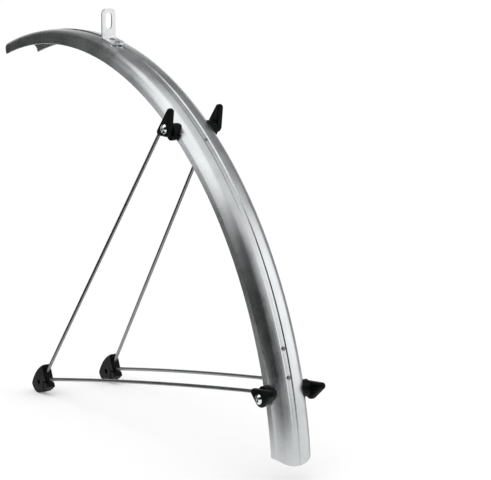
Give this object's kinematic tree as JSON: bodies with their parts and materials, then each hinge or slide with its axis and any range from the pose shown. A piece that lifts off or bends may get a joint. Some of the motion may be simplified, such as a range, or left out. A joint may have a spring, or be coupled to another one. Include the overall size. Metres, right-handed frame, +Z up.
{
  "type": "bicycle mudguard",
  "caption": "Front bicycle mudguard: a grooved silver arch blade with a slotted fork bracket, wire stays in finned clips and breakaway fork-end housings.",
  "frame": {"origin": "middle of the bracket's slot, on the face of the plate that meets the fork crown", "axes": "+X forwards on the bicycle, +Y to the rider's left, +Z up, with the wheel's axle 52.1 mm ahead and 372.4 mm below"},
  "size_m": [0.4836, 0.0822, 0.3687],
  "materials": {
    "blade": "satin silver metal-look skin",
    "bright_plate": "bright zinc plated",
    "wire": "drawn stainless wire",
    "strap": "pressed stainless strip",
    "fastener": "bright plated",
    "black_plastic": "fine moulded grain"
  },
  "bodies": {
    "root": {"blade": "blade", "bracket_rivets": "fastener", "clip_screw_lower_left": "fastener", "clip_screw_lower_right": "fastener", "clip_screw_upper_left": "fastener", "clip_screw_upper_right": "fastener", "fork_bracket": "bright_plate", "lower_bridge": "strap", "lower_bridge_rivets": "fastener", "release_housing_left": "black_plastic", "release_housing_right": "black_plastic", "release_plug_left": "black_plastic", "release_plug_right": "black_plastic", "stay_boss_lower_left": "black_plastic", "stay_boss_lower_right": "black_plastic", "stay_boss_upper_left": "black_plastic", "stay_boss_upper_right": "black_plastic", "stay_clip_lower_left": "black_plastic", "stay_clip_lower_right": "black_plastic", "stay_clip_upper_left": "black_plastic", "stay_clip_upper_right": "black_plastic", "stay_lower_left": "wire", "stay_lower_right": "wire", "stay_upper_left": "wire", "stay_upper_right": "wire", "upper_bridge": "strap", "upper_bridge_rivet": "fastener"}
  },
  "joints": []
}
